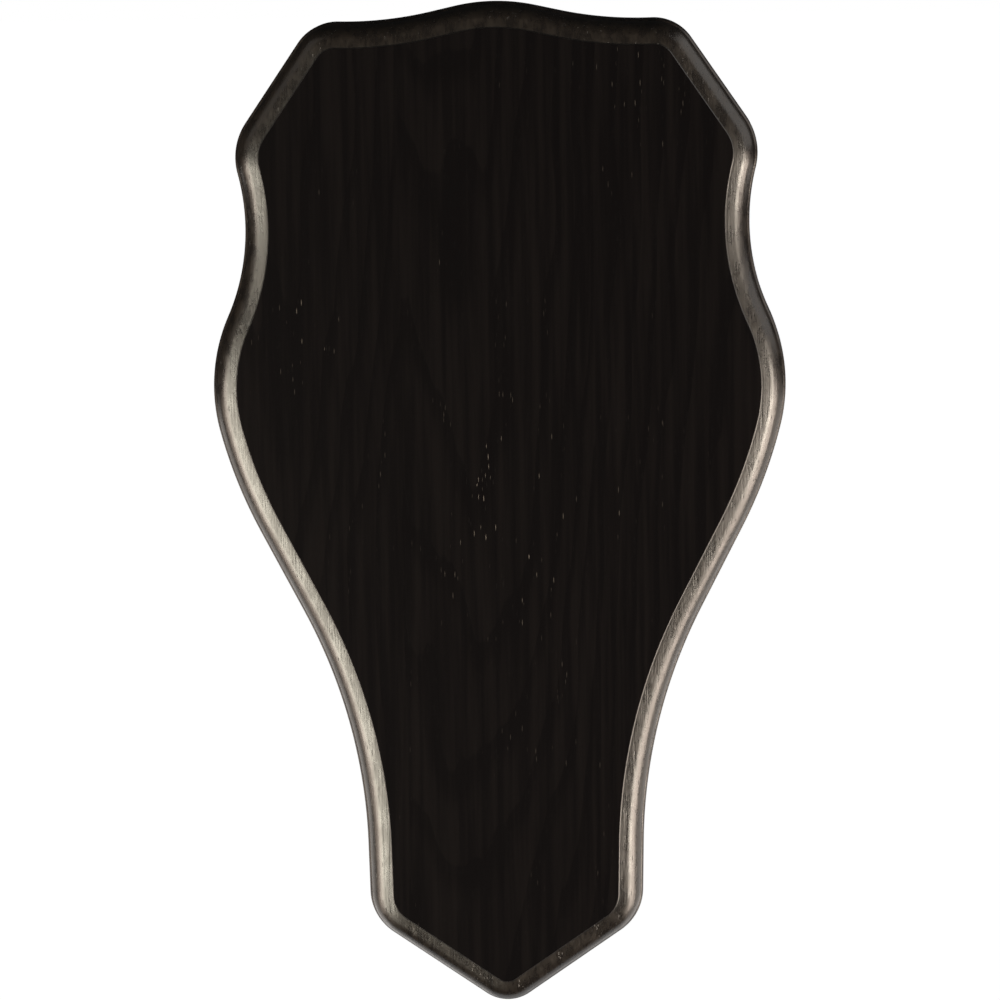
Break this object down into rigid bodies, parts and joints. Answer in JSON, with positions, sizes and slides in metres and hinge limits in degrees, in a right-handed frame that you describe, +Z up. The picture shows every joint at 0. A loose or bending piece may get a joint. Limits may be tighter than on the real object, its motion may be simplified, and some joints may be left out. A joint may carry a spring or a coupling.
{
  "type": "trophy mounting plaque",
  "caption": "Shield-shaped stained oak plaque with a moulded rim for mounting a trophy, hung by a swivelling D-ring on its back.",
  "frame": {"origin": "the point on the wall where a hook carries the hanging ring: mount wall_hook, on the wall plane behind the underside of the ring's bow", "axes": "+Z up along the shield, towards its crest; the front faces -Y and the wall is the plane y = 0; +X to the right as seen from the front"},
  "size_m": [0.17, 0.022, 0.3],
  "materials": {
    "stained_oak": "near-black stained oak under satin lacquer, open grain",
    "zinc_plate": "bright zinc plate",
    "screw_steel": "zinc-plated screw",
    "bumper_rubber": "matt moulded rubber"
  },
  "bodies": {
    "board": {"stave_left": "stained_oak", "stave_centre": "stained_oak", "stave_right": "stained_oak", "hanger_strap": "zinc_plate", "hanger_screw_upper": "screw_steel", "hanger_screw_lower": "screw_steel", "bumper_left": "bumper_rubber", "bumper_right": "bumper_rubber"},
    "ring": {"hanger_ring": "zinc_plate"}
  },
  "joints": [
    {"name": "ring_swing", "type": "hinge", "parent": "board", "child": "ring", "pos_m": [0, -0.00215, -0.013], "axis": [-1, 0, 0], "range_deg": [-3, 175]}
  ]
}
